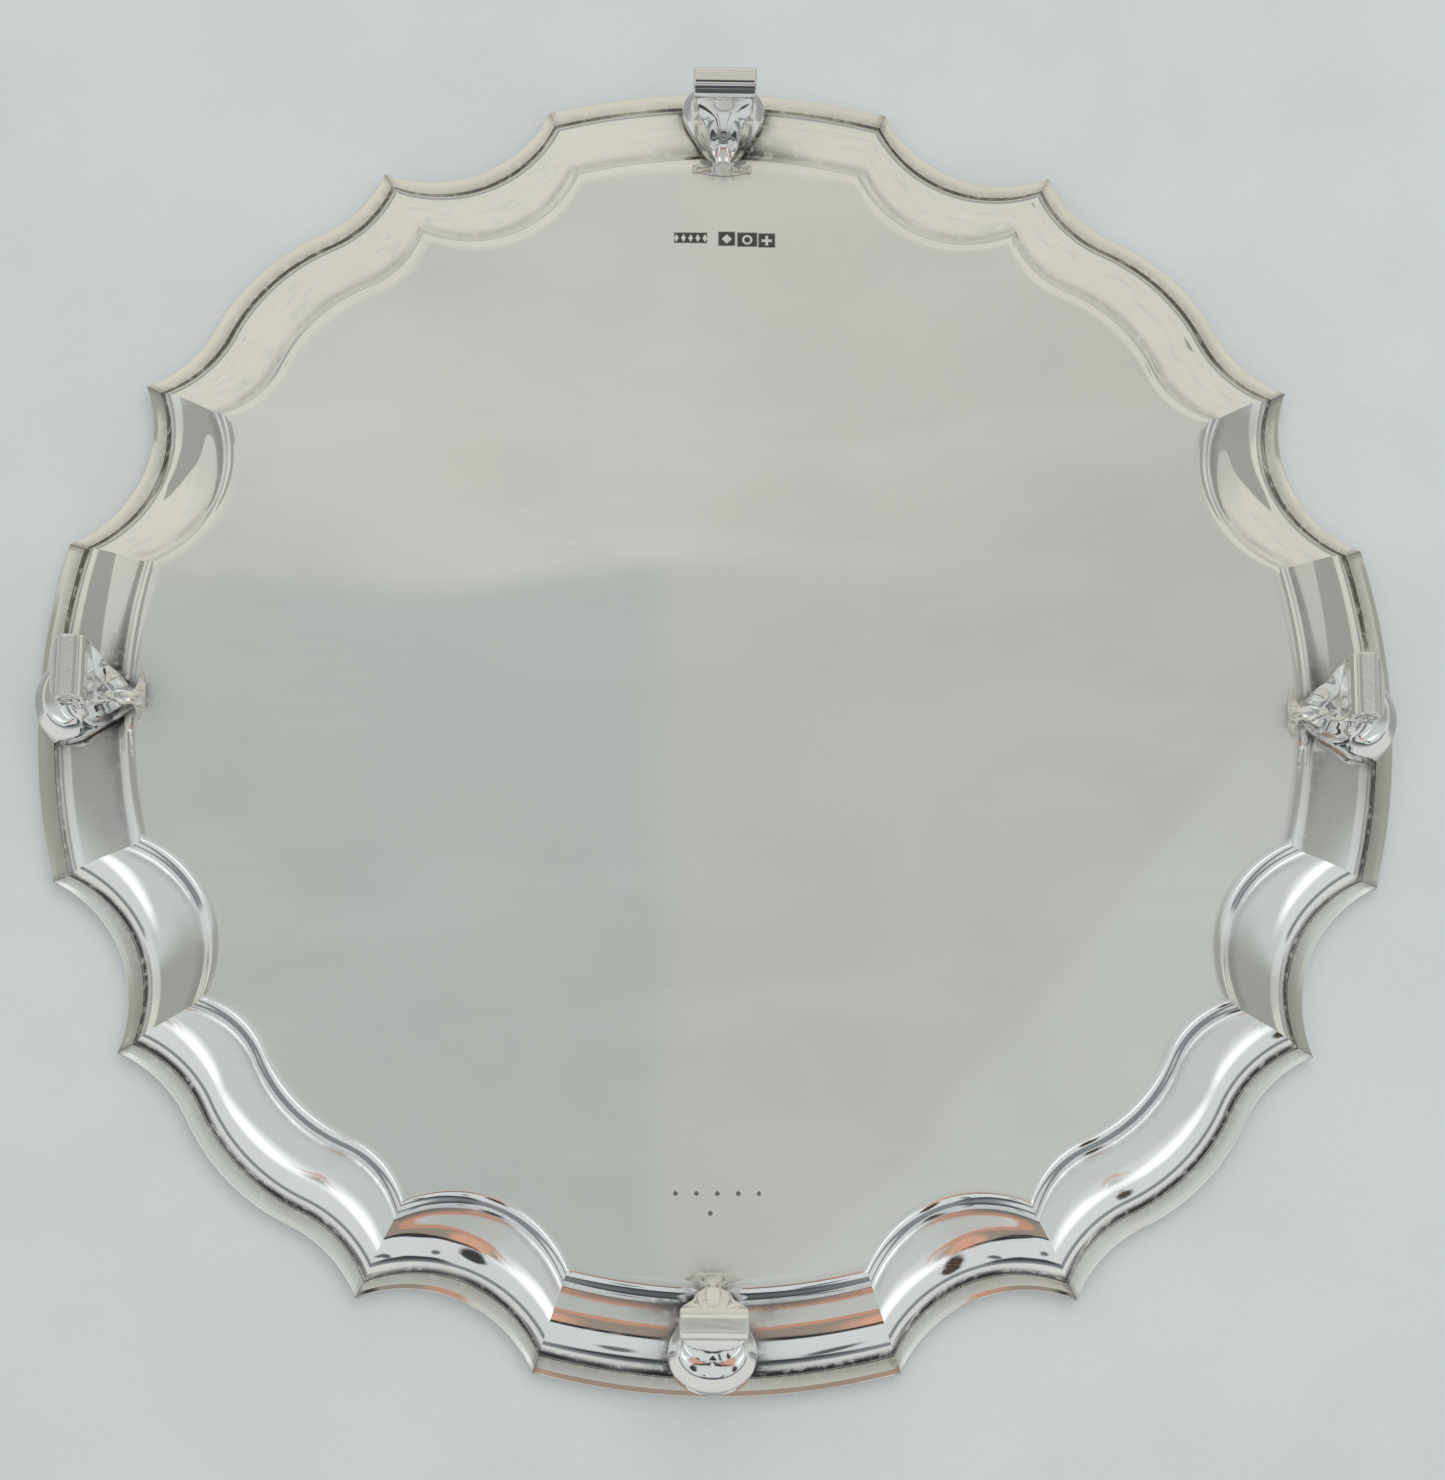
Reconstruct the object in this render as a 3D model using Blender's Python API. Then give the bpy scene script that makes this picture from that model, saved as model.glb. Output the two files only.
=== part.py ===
"""Silver salver with a shaped, cusped border, standing on four cast scroll feet.

The salver stands on its feet: +Z is up out of the well, Z = 0 is the plane of the feet's
soles, and the Z axis runs through the middle of the well. A foot lies by each of +X, +Y, -X
and -Y, under a degree off it. All dimensions are in millimetres; meshes are made in metres.

Pieces: one raised tray, sixteen applied rim mouldings mitred together at the border's cusps,
and four feet. Neighbours keep a solder gap of 0.3 mm.
"""

import math

import bmesh
import bpy
from mathutils import Vector

MM = 0.001
GAP = 0.3

# Outline of the border, as arcs. Angles are from the nearest foot's axis, in degrees.
FOOT_ARC_R = 101.6
NOTCH_R = 20.3
NOTCH_CENTRE_R = 115.6
NOTCH_CENTRE_DEG = 22.8
HOLLOW_R = 20.3
HOLLOW_CENTRE_R = 118.7
HOLLOW_CENTRE_DEG = 36.5
CROWN_TOP_R = 100.1

# Heights above the soles' plane.
FLANGE_Z = 22.6
SHEET = 0.9
BORDER_W = 13.1

# How far each cusp's mitre line leans over the border's width, in degrees.
SPLAY_FIRST_CUSP = -0.7
SPLAY_SECOND_CUSP = 0.38

# Underside of the tray, from its edge to the flat base: (distance in from the outline,
# height above the flange's underside). The last steep rows are the bead round the well.
TRAY_UNDERSIDE = (
    (2.95, 0.7),
    (2.95, -0.3),
    (3.35, -0.75),
    (3.9, -1.55),
    (4.9, -2.45),
    (6.8, -3.3),
    (9.8, -4.05),
    (12.4, -4.55),
    (13.3, -5.0),
    (14.0, -5.7),
    (15.4, -6.1),
)
# Section of the applied rim moulding, anticlockwise from the outer bottom edge.
RIM_SECTION = (
    (0.05, 0.42),
    (2.65, 0.0),
    (2.65, 1.0),
    (4.3, 1.0),
    (4.3, 1.35),
    (3.45, 1.75),
    (2.9, 2.55),
    (1.9, 3.0),
    (0.85, 2.75),
    (0.15, 1.9),
    (0.0, 0.9),
)
FOOT_STEPS = 6
NOTCH_STEPS = 6
LOBE_STEPS = 10

# Foot: plan of the pear-shaped base as (radius from the salver's axis, half width).
PEAR_PLAN = (
    (84.7, 1.4),
    (86.2, 1.8),
    (88.0, 2.8),
    (90.3, 4.1),
    (92.8, 5.4),
    (95.2, 6.3),
    (97.6, 6.2),
    (99.6, 4.9),
    (101.3, 1.8),
)
# Crown of the pear below the flange, at the same radii.
PEAR_CROWN = (7.2, 7.2, 7.2, 7.6, 8.1, 8.3, 7.9, 6.9, 4.6)
PEAR_EDGE = 0.9
PEAR_MIN_RISE = 0.3
# Leg: level sections as (depth below the flange, radius of the ramp's middle, radius of the
# ramp's edge, radius of the back, half width of the ramp's edge, half width of the flank).
LEG_SECTIONS = (
    (6.8, 88.4, 86.6, 98.0, 1.1, 4.2),
    (7.9, 89.5, 87.1, 97.5, 1.5, 4.1),
    (9.0, 89.9, 87.4, 96.0, 1.8, 4.0),
    (11.0, 90.4, 87.9, 95.1, 2.2, 3.6),
    (13.5, 91.0, 89.0, 94.9, 2.7, 3.4),
    (15.0, 91.3, 89.7, 94.9, 3.5, 3.85),
    (17.0, 91.4, 90.4, 95.1, 4.3, 4.45),
    (18.6, 91.5, 90.9, 95.4, 4.6, 4.65),
    (20.0, 91.5, 91.3, 95.6, 4.7, 4.7),
)
# Rolled end that stands on the table: section as (radius, depth below the flange).
ROLL_SECTION = (
    (91.5, 19.0),
    (91.55, 20.9),
    (91.95, 21.75),
    (92.4, 22.28),
    (93.1, 22.6),
    (95.0, 22.6),
    (95.15, 22.35),
    (95.85, 20.9),
    (96.5, 19.6),
    (97.0, 18.4),
    (96.7, 17.8),
    (95.6, 17.4),
    (92.6, 17.9),
)
ROLL_HALF = 4.8
# How far each foot was soldered off its axis, anticlockwise, in degrees.
FOOT_TURN = {"right": 0.85, "back": 0.38, "left": 0.2, "front": 0.5}
# Leaf-shaped solder tab where the foot's neck meets the well's bead.
LEAF_HALF = 4.9
LEAF_INNER_R = 84.2
LEAF_OUTER_R = 86.0
LEAF_THICKNESS = 0.45

SILVER = (0.87, 0.86, 0.82)
FOOT_SILVER = (0.84, 0.83, 0.80)


def near_arc(centre_r, centre_deg, radius, deg):
    """Distance from the axis to the near side of a circle, in the direction deg."""
    delta = math.radians(deg - centre_deg)
    across = centre_r * math.sin(delta)
    return centre_r * math.cos(delta) - math.sqrt(radius**2 - across**2)


def first_cusp():
    """Angle where the foot arc meets the notch."""
    top = FOOT_ARC_R**2 + NOTCH_CENTRE_R**2 - NOTCH_R**2
    return NOTCH_CENTRE_DEG - math.degrees(
        math.acos(top / (2 * FOOT_ARC_R * NOTCH_CENTRE_R))
    )


def second_cusp():
    """Angle where the notch meets the lobe's hollow, by bisection."""
    low, high = 28.0, 33.0
    for _ in range(40):
        mid = (low + high) / 2
        notch = near_arc(NOTCH_CENTRE_R, NOTCH_CENTRE_DEG, NOTCH_R, mid)
        hollow = near_arc(HOLLOW_CENTRE_R, HOLLOW_CENTRE_DEG, HOLLOW_R, mid)
        low, high = (mid, high) if notch < hollow else (low, mid)
    return low


def crown():
    """Radius of the lobe's crown, its centre's distance, and the angle where it starts."""
    off = math.radians(45.0 - HOLLOW_CENTRE_DEG)
    along = HOLLOW_CENTRE_R * math.cos(off) - CROWN_TOP_R
    across = HOLLOW_CENTRE_R * math.sin(off)
    radius = (along**2 + across**2 - HOLLOW_R**2) / (2 * (HOLLOW_R - along))
    centre = CROWN_TOP_R - radius
    share = radius / (radius + HOLLOW_R)
    x = centre + share * (HOLLOW_CENTRE_R * math.cos(off) - centre)
    return radius, centre, 45.0 - math.degrees(math.atan2(share * across, x))


CUSP_A = first_cusp()
CUSP_B = second_cusp()
CROWN_R, CROWN_CENTRE_R, CROWN_START = crown()


def fold(deg):
    """Angle from the nearest foot's axis, and which side of that axis it is on."""
    turned = (deg + 45.0) % 90.0 - 45.0
    return abs(turned), (1.0 if turned >= 0 else -1.0)


def outline_radius(deg):
    a, _ = fold(deg)
    if a <= CUSP_A:
        return FOOT_ARC_R
    if a <= CUSP_B:
        return near_arc(NOTCH_CENTRE_R, NOTCH_CENTRE_DEG, NOTCH_R, a)
    if a <= CROWN_START:
        return near_arc(HOLLOW_CENTRE_R, HOLLOW_CENTRE_DEG, HOLLOW_R, a)
    delta = math.radians(45.0 - a)
    across = CROWN_CENTRE_R * math.sin(delta)
    return CROWN_CENTRE_R * math.cos(delta) + math.sqrt(CROWN_R**2 - across**2)


def splay(deg):
    a, side = fold(deg)
    if a <= CUSP_A:
        lean = SPLAY_FIRST_CUSP * a / CUSP_A
    elif a <= CUSP_B:
        share = (a - CUSP_A) / (CUSP_B - CUSP_A)
        lean = SPLAY_FIRST_CUSP + share * (SPLAY_SECOND_CUSP - SPLAY_FIRST_CUSP)
    else:
        lean = SPLAY_SECOND_CUSP * (45.0 - a) / (45.0 - CUSP_B)
    return side * lean


def border_point(deg, inward, z):
    """Point of the border: inward from the outline, z from the soles' plane."""
    r = outline_radius(deg) - inward
    a = math.radians(deg + splay(deg) * inward / BORDER_W)
    return Vector((r * math.cos(a), r * math.sin(a), z)) * MM


def offset_profile(points, distance):
    """The polyline moved to its left by distance, mitred at each corner."""
    points = [Vector(point) for point in points]
    runs = [(b - a).normalized() for a, b in zip(points, points[1:])]
    runs = [runs[0]] + runs + [Vector((1.0, 0.0))]
    moved = []
    for here, first, last in zip(points, runs, runs[1:]):
        n1 = Vector((-first.y, first.x))
        n2 = Vector((-last.y, last.x))
        mitre = (n1 + n2).normalized()
        moved.append(tuple(here + mitre * (distance / max(mitre.dot(n1), 0.5))))
    return moved


def material(name, colour, roughness):
    made = bpy.data.materials.new(name)
    made.use_nodes = True
    shader = made.node_tree.nodes["Principled BSDF"]
    shader.inputs["Base Color"].default_value = (*colour, 1.0)
    shader.inputs["Metallic"].default_value = 1.0
    shader.inputs["Roughness"].default_value = roughness
    return made


def add_object(name, mesh, coat, turn=0.0):
    made = bpy.data.objects.new(name, mesh)
    bpy.context.scene.collection.objects.link(made)
    if not mesh.materials:
        mesh.materials.append(coat)
    made.rotation_euler = (0.0, 0.0, math.radians(turn))
    return made


def mesh_from(name, verts, faces, sharp_deg=35.0):
    mesh = bpy.data.meshes.new(name)
    mesh.from_pydata(verts, [], faces)
    work = bmesh.new()
    work.from_mesh(mesh)
    bmesh.ops.recalc_face_normals(work, faces=work.faces)
    work.to_mesh(mesh)
    work.free()
    mesh.shade_smooth()
    mesh.set_sharp_from_angle(angle=math.radians(sharp_deg))
    return mesh


def segment_angles():
    """(kind, first angle, last angle, steps) of the border's sixteen segments."""
    segments = []
    for quarter in range(4):
        axis = 90.0 * quarter
        segments += [
            ("arc", axis - CUSP_A, axis + CUSP_A, FOOT_STEPS),
            ("notch", axis + CUSP_A, axis + CUSP_B, NOTCH_STEPS),
            ("lobe", axis + CUSP_B, axis + 90.0 - CUSP_B, LOBE_STEPS),
            ("notch", axis + 90.0 - CUSP_B, axis + 90.0 - CUSP_A, NOTCH_STEPS),
        ]
    return segments


def all_angles():
    angles = []
    for _, start, end, steps in segment_angles():
        angles += [start + (end - start) * i / steps for i in range(steps)]
    return angles


def tray_mesh():
    """Dished sheet: underside and upper profile swept round the outline, closed by discs."""
    under = [(d, z + FLANGE_Z) for d, z in TRAY_UNDERSIDE]
    upper = offset_profile(TRAY_UNDERSIDE, SHEET)
    upper = [(d, min(z, 0.7) + FLANGE_Z) for d, z in upper]
    loop = list(reversed(under)) + upper
    angles = all_angles()
    verts = [border_point(a, d, z) for a in angles for d, z in loop]
    size, count = len(loop), len(angles)
    faces = []
    for i in range(count):
        j = (i + 1) % count
        for k in range(size - 1):
            faces.append(
                (i * size + k, j * size + k, j * size + k + 1, i * size + k + 1)
            )
    for k, height in ((0, under[-1][1]), (size - 1, upper[-1][1])):
        hub = len(verts)
        verts.append(Vector((0.0, 0.0, height)) * MM)
        faces += [(i * size + k, (i + 1) % count * size + k, hub) for i in range(count)]
    return mesh_from("tray", verts, faces)


def rim_mesh(name, start, end, steps):
    """One mitred length of the applied moulding, short of each mitre by half a gap."""
    trim = math.degrees(GAP / 2 / FOOT_ARC_R) * 1.25
    start, end = start + trim, end - trim
    size = len(RIM_SECTION)
    verts = []
    for i in range(steps + 1):
        deg = start + (end - start) * i / steps
        verts += [border_point(deg, d, z + FLANGE_Z) for d, z in RIM_SECTION]
    faces = [tuple(range(size)), tuple(range(steps * size, (steps + 1) * size))]
    for i in range(steps):
        for k in range(size):
            m = (k + 1) % size
            faces.append(
                (i * size + k, i * size + m, (i + 1) * size + m, (i + 1) * size + k)
            )
    return mesh_from(name, verts, faces)


def tray_depth(u, v):
    """Depth of the salver's underside below the flange, at a point by a foot."""
    inward = FOOT_ARC_R - math.hypot(u, v)
    profile = [(2.65, 0.0)] + [(d, -z) for d, z in TRAY_UNDERSIDE[1:]]
    if inward <= profile[0][0]:
        return 0.0
    for (d0, w0), (d1, w1) in zip(profile, profile[1:]):
        if inward <= d1:
            return w0 + (w1 - w0) * (inward - d0) / (d1 - d0)
    return profile[-1][1]


def foot_point(u, v, depth):
    return Vector((u, v, FLANGE_Z - depth)) * MM


def pear_mesh(columns=10):
    """Teardrop dome that lies on the border: flat-edged, crowned along its middle."""
    rows = len(PEAR_PLAN)
    verts = []
    for (u, half), top in zip(PEAR_PLAN, PEAR_CROWN):
        for j in range(columns + 1):
            v = half * math.sin(math.pi / 2 * (2 * j / columns - 1))
            seat = tray_depth(u, v) + GAP
            rise = math.sqrt(max(1.0 - abs(v / half) ** 3, 0.0))
            edge = seat + PEAR_EDGE
            verts.append(foot_point(u, v, edge + max(top - edge, PEAR_MIN_RISE) * rise))
    for u, half in PEAR_PLAN:
        for j in range(columns + 1):
            v = half * math.sin(math.pi / 2 * (2 * j / columns - 1))
            verts.append(foot_point(u, v, tray_depth(u, v) + GAP))
    wide = columns + 1
    below = rows * wide
    faces = []
    for i in range(rows - 1):
        for j in range(columns):
            a = i * wide + j
            faces.append((a, a + 1, a + wide + 1, a + wide))
            faces.append((a + below, a + wide + below, a + wide + 1 + below, a + 1 + below))
        for a in (i * wide, i * wide + columns):
            faces.append((a, a + wide, a + wide + below, a + below))
    for first in (0, (rows - 1) * wide):
        for j in range(columns):
            a = first + j
            faces.append((a, a + 1, a + 1 + below, a + below))
    return mesh_from("pear", verts, faces)


def leg_mesh():
    """Leg that leans out from the neck to the rolled end, lofted through level sections."""
    verts = []
    for depth, middle, inner, outer, ramp, flank in LEG_SECTIONS:
        long = outer - inner
        half = (
            (0.28, ramp + (flank - ramp) * 0.7),
            (0.52, flank),
            (0.78, flank * 0.86),
            (0.95, flank * 0.5),
        )
        loop = [(middle + (inner - middle) * 0.3, ramp * 0.55), (inner, ramp)]
        loop += [(inner + long * t, v) for t, v in half]
        mirrored = [(u, -v) for u, v in reversed(loop)]
        loop = [(middle, 0.0)] + loop + [(outer, 0.0)] + mirrored
        verts += [foot_point(u, v, depth) for u, v in loop]
    size = len(verts) // len(LEG_SECTIONS)
    rows = len(LEG_SECTIONS)
    faces = [tuple(range(size)), tuple(range((rows - 1) * size, rows * size))]
    for i in range(rows - 1):
        for k in range(size):
            m = (k + 1) % size
            faces.append(
                (i * size + k, i * size + m, (i + 1) * size + m, (i + 1) * size + k)
            )
    return mesh_from("leg", verts, faces)


def prism_mesh(name, outline):
    """Closed prism between two matching rings of points."""
    size = len(outline) // 2
    faces = [tuple(range(size)), tuple(range(size, 2 * size))]
    for k in range(size):
        m = (k + 1) % size
        faces.append((k, m, m + size, k + size))
    return mesh_from(name, outline, faces)


def roll_mesh():
    """Rolled end of the scroll, faceted, with the flat sole on top of the plane Z = 0."""
    rings = [
        foot_point(u, side * ROLL_HALF, depth)
        for side in (-1.0, 1.0)
        for u, depth in ROLL_SECTION
    ]
    return prism_mesh("roll", rings)


def leaf_mesh(steps=8):
    """Lens-shaped tab lying on the well's bead across the foot's neck."""
    plan = []
    for side, r in ((-1.0, LEAF_INNER_R), (1.0, LEAF_OUTER_R)):
        mid = (LEAF_INNER_R + LEAF_OUTER_R) / 2
        for i in range(steps):
            t = side * (1.0 - 2.0 * i / steps)
            plan.append((mid + (r - mid) * (1.0 - t * t), t * LEAF_HALF))
    seat = -TRAY_UNDERSIDE[-1][1] + GAP
    rings = [foot_point(u, v, seat) for u, v in plan]
    rings += [foot_point(u, v, seat + LEAF_THICKNESS) for u, v in plan]
    return prism_mesh("leaf", rings)


def foot_mesh(coat):
    """The casting: pear, leg, rolled end and leaf united into one closed body."""
    body = add_object("casting", pear_mesh(), coat)
    helpers = []
    for name, mesh in (("leg", leg_mesh()), ("roll", roll_mesh()), ("leaf", leaf_mesh())):
        helper = add_object(name, mesh, coat)
        helper.hide_render = True
        helper.display_type = "WIRE"
        helpers.append(helper)
        union = body.modifiers.new(name, "BOOLEAN")
        union.operation = "UNION"
        union.object = helper
    bpy.context.view_layer.update()
    graph = bpy.context.evaluated_depsgraph_get()
    mesh = bpy.data.meshes.new_from_object(body.evaluated_get(graph))
    mesh.name = "scroll_foot"
    for helper in [body] + helpers:
        bpy.data.objects.remove(helper)
    mesh.shade_smooth()
    mesh.set_sharp_from_angle(angle=math.radians(30.0))
    return mesh


def main():
    for old in list(bpy.data.objects):
        bpy.data.objects.remove(old)
    silver = material("polished_silver", SILVER, 0.12)
    cast = material("cast_silver", FOOT_SILVER, 0.16)
    add_object("tray", tray_mesh(), silver)

    sides = ("right", "back", "left", "front")
    corners = ("back_right", "back_left", "front_left", "front_right")
    notch = 0
    for index, (kind, start, end, steps) in enumerate(segment_angles()):
        quarter = index // 4
        if kind == "arc":
            name = "rim_arc_" + sides[quarter]
        elif kind == "lobe":
            name = "rim_lobe_" + corners[quarter]
        else:
            notch += 1
            name = "rim_notch_%d" % notch
        add_object(name, rim_mesh(name, start, end, steps), silver)

    foot = foot_mesh(cast)
    for quarter, side in enumerate(sides):
        add_object("foot_" + side, foot, cast, 90.0 * quarter + FOOT_TURN[side])


main()
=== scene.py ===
"""Looks of the silver salver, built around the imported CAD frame.

The salver stands on its feet, +Z up. The main camera looks up at its underside, as if it lay
face down on a pale cloth. The cloth lies at the rim's crest and shows only from below; the
floor lies at the feet's soles and shows only from above. Neither hides or shades the salver.
Shapes are worked out in millimetres, between the boxes of the frame's nodes, and are made in
metres. Two ways of giving a place are used: "inward" is the distance in from the outline, and
"depth" is the distance below the underside of the rim's flange.
"""

import math

import bpy
import numpy as np
from mathutils import Matrix, Vector


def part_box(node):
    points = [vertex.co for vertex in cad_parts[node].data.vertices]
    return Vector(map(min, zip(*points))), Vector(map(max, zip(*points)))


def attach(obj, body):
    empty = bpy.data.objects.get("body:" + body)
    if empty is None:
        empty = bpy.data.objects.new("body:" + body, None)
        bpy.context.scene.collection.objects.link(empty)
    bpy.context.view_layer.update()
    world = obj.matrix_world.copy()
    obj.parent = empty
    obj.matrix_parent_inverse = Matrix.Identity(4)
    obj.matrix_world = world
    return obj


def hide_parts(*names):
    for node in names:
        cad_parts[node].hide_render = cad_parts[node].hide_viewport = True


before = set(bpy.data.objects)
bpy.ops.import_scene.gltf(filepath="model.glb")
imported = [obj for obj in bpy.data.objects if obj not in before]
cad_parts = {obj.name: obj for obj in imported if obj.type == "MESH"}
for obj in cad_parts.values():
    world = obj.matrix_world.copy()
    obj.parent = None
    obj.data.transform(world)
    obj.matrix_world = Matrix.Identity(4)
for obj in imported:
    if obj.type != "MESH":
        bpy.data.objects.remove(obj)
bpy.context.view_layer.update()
MM, TO_MM = 0.001, 1000.0


def in_mm(node):
    low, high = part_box(node)
    return np.array(low) / MM, np.array(high) / MM


# Places read from the frame, in millimetres.
ARC_LOW, ARC_HIGH = in_mm("rim_arc_right")
WELL_Z = in_mm("tray")[0][2]
SOLE_Z = in_mm("foot_right")[0][2]
FOOT_ARC_R = ARC_HIGH[0]
FLANGE_Z = ARC_LOW[2]
CREST_Z = ARC_HIGH[2]
BASE_DEPTH = FLANGE_Z - WELL_Z
SIDES = ("right", "back", "left", "front")


def foot_axis(side):
    """Direction of a foot from the middle, in degrees anticlockwise from +X."""
    low, high = in_mm("foot_" + side)
    return math.degrees(math.atan2(low[1] + high[1], low[0] + high[0]))


FOOT_AXES = [foot_axis(side) for side in SIDES]

# Outline of the border, as arcs (radius, centre's distance, centre's angle from a foot).
NOTCH = (20.3, 115.6, 22.8)
HOLLOW = (20.3, 118.7, 36.5)
CROWN_TOP_R = 100.1
# How far the cusps' mitre lines lean over the border's width, in degrees.
BORDER_W = 13.1
SPLAY_FIRST, SPLAY_SECOND = -0.7, 0.38
# Steps along a foot's arc, a notch and a lobe, shared by the tray and the moulding.
ARC_STEPS, NOTCH_STEPS, LOBE_STEPS = 46, 30, 56

# Tray: thickness, the edge under the moulding (inward, depth), and where the mitres stop.
SHEET = 0.9
EDGE_IN, EDGE_DEPTH = 2.75, -0.7
MITRE_END = 14.6
# Underside of the tray from its edge to the well: inward, depth.
UNDERSIDE_CURVE = (
    (2.75, 0.10),
    (3.1, 0.35),
    (3.3, 0.62),
    (3.9, 1.55),
    (4.5, 2.15),
    (5.3, 2.68),
    (6.2, 3.10),
    (7.2, 3.45),
    (8.4, 3.77),
    (9.2, 3.95),
    (10.5, 4.18),
    (11.6, 4.37),
    (12.2, 4.50),
    (12.7, 4.64),
    (13.1, 4.82),
    (13.4, 5.10),
    (13.7, 5.45),
    (14.2, 5.85),
    (14.8, 6.05),
    (15.4, 6.10),
)


# ---------------------------------------------------------------- border outline


def near_arc(arc, a):
    radius, centre, at = arc
    delta = np.radians(a - at)
    inside = np.maximum(radius**2 - (centre * np.sin(delta)) ** 2, 0.0)
    return centre * np.cos(delta) - np.sqrt(inside)


def find_cusps():
    """Angles from a foot's axis of the two cusps, and where the lobe's crown starts."""
    radius, centre, at = NOTCH
    top = FOOT_ARC_R**2 + centre**2 - radius**2
    first = at - math.degrees(math.acos(top / (2 * FOOT_ARC_R * centre)))
    low, high = 28.0, 33.0
    for _ in range(40):
        mid = (low + high) / 2
        low, high = (mid, high) if near_arc(NOTCH, mid) < near_arc(HOLLOW, mid) else (low, mid)
    radius, centre, at = HOLLOW
    off = math.radians(45.0 - at)
    along = centre * math.cos(off) - CROWN_TOP_R
    across = centre * math.sin(off)
    crown_r = (along**2 + across**2 - radius**2) / (2 * (radius - along))
    crown_c = CROWN_TOP_R - crown_r
    share = crown_r / (crown_r + radius)
    x = crown_c + share * (centre * math.cos(off) - crown_c)
    return first, low, 45.0 - math.degrees(math.atan2(share * across, x)), crown_r, crown_c


CUSP_A, CUSP_B, CROWN_START, CROWN_R, CROWN_C = find_cusps()


def outline_radius(deg):
    a = np.abs((deg + 45.0) % 90.0 - 45.0)
    delta = np.radians(45.0 - a)
    crown = CROWN_C * np.cos(delta) + np.sqrt(CROWN_R**2 - (CROWN_C * np.sin(delta)) ** 2)
    r = np.where(a <= CROWN_START, near_arc(HOLLOW, a), crown)
    r = np.where(a <= CUSP_B, near_arc(NOTCH, a), r)
    return np.where(a <= CUSP_A, FOOT_ARC_R, r)


def splay(deg):
    turned = (deg + 45.0) % 90.0 - 45.0
    lean = np.interp(
        np.abs(turned), (0, CUSP_A, CUSP_B, 45), (0, SPLAY_FIRST, SPLAY_SECOND, 0)
    )
    return np.sign(turned) * lean


def border_points(deg, inward, z):
    r = outline_radius(deg) - inward
    a = np.radians(deg + splay(deg) * inward / BORDER_W)
    return np.stack([r * np.cos(a), r * np.sin(a), np.broadcast_to(z, r.shape)], -1)


def smooth_curve(points, count):
    """Monotone cubic through the points, sampled evenly along its x."""
    p = np.array(points, float)
    x, y = p[:, 0], p[:, 1]
    h, slope = np.diff(x), np.diff(y) / np.diff(x)
    m = np.concatenate([[slope[0]], np.zeros(len(slope) - 1), [slope[-1]]])
    for i in range(1, len(slope)):
        if slope[i - 1] * slope[i] > 0:
            a, b = 2 * h[i] + h[i - 1], h[i] + 2 * h[i - 1]
            m[i] = (a + b) / (a / slope[i - 1] + b / slope[i])
    m[-1] *= 0.7
    at = np.linspace(x[0], x[-1], count)
    k = np.clip(np.searchsorted(x, at, side="right") - 1, 0, len(h) - 1)
    t = (at - x[k]) / h[k]
    value = (
        (2 * t**3 - 3 * t**2 + 1) * y[k]
        + (t**3 - 2 * t**2 + t) * h[k] * m[k]
        + (3 * t**2 - 2 * t**3) * y[k + 1]
        + (t**3 - t**2) * h[k] * m[k + 1]
    )
    return np.stack([at, value], -1)


def smoothed(curve, passes):
    """The curve with its slope's small steps evened out; its ends stay put."""
    curve = curve.copy()
    for _ in range(passes):
        curve[1:-1, 1] = (curve[:-2, 1] + 2 * curve[1:-1, 1] + curve[2:, 1]) / 4
    return curve


UNDERSIDE = smoothed(smooth_curve(UNDERSIDE_CURVE, 120), 14)


def tray_depth(u, v):
    """Depth of the tray's underside near a foot, u out from the middle and v to the side."""
    inward = FOOT_ARC_R - np.hypot(u, v)
    return np.interp(inward, UNDERSIDE[:, 0], UNDERSIDE[:, 1], left=0.0)


def border_lengths():
    """The border's four lengths in each quarter: kind, first angle, last angle, steps."""
    return (
        ("arc", -CUSP_A, CUSP_A, ARC_STEPS),
        ("notch", CUSP_A, CUSP_B, NOTCH_STEPS),
        ("lobe", CUSP_B, 90.0 - CUSP_B, LOBE_STEPS),
        ("notch", 90.0 - CUSP_B, 90.0 - CUSP_A, NOTCH_STEPS),
    )


def border_columns():
    """Angles round the border, dense enough for a smooth edge, and the cusps' columns."""
    angles, cusps = [], []
    for quarter in range(4):
        for _, start, end, steps in border_lengths():
            cusps.append(len(angles))
            angles += [90.0 * quarter + start + (end - start) * i / steps for i in range(steps)]
    return np.array(angles), cusps


# ---------------------------------------------------------------- meshes


def make_object(name, points, faces, coat, tarnish_and_shade=None, normals=None, sharp=None):
    """Mesh object from points in millimetres, with its darkening, oxide and painted shade, kept
    as an attribute.
    """
    mesh = bpy.data.meshes.new(name)
    mesh.from_pydata((np.asarray(points) * MM).tolist(), [], faces)
    mesh.shade_smooth()
    if tarnish_and_shade is not None:
        layer = mesh.attributes.new("tarnish_and_shade", "FLOAT", "POINT")
        layer.data.foreach_set("value", np.asarray(tarnish_and_shade, np.float32))
    if sharp is not None:
        ends = np.zeros(len(mesh.edges) * 2, int)
        mesh.edges.foreach_get("vertices", ends)
        ends = ends.reshape(-1, 2)
        layer = mesh.attributes.new("sharp_edge", "BOOLEAN", "EDGE")
        layer.data.foreach_set("value", sharp(ends[:, 0], ends[:, 1]))
    if normals is not None:
        mesh.normals_split_custom_set_from_vertices(normals.tolist())
    mesh.materials.append(coat)
    made = bpy.data.objects.new(name, mesh)
    bpy.context.scene.collection.objects.link(made)
    return made


def grid_faces(columns, rows, closed):
    """Quads of a grid whose points run row by row within each column."""
    i = np.arange(columns if closed else columns - 1)[:, None]
    j = (i + 1) % columns
    k = np.arange(rows - 1)[None]
    quads = np.stack([i * rows + k, i * rows + k + 1, j * rows + k + 1, j * rows + k], -1)
    return quads.reshape(-1, 4).tolist()


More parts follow.
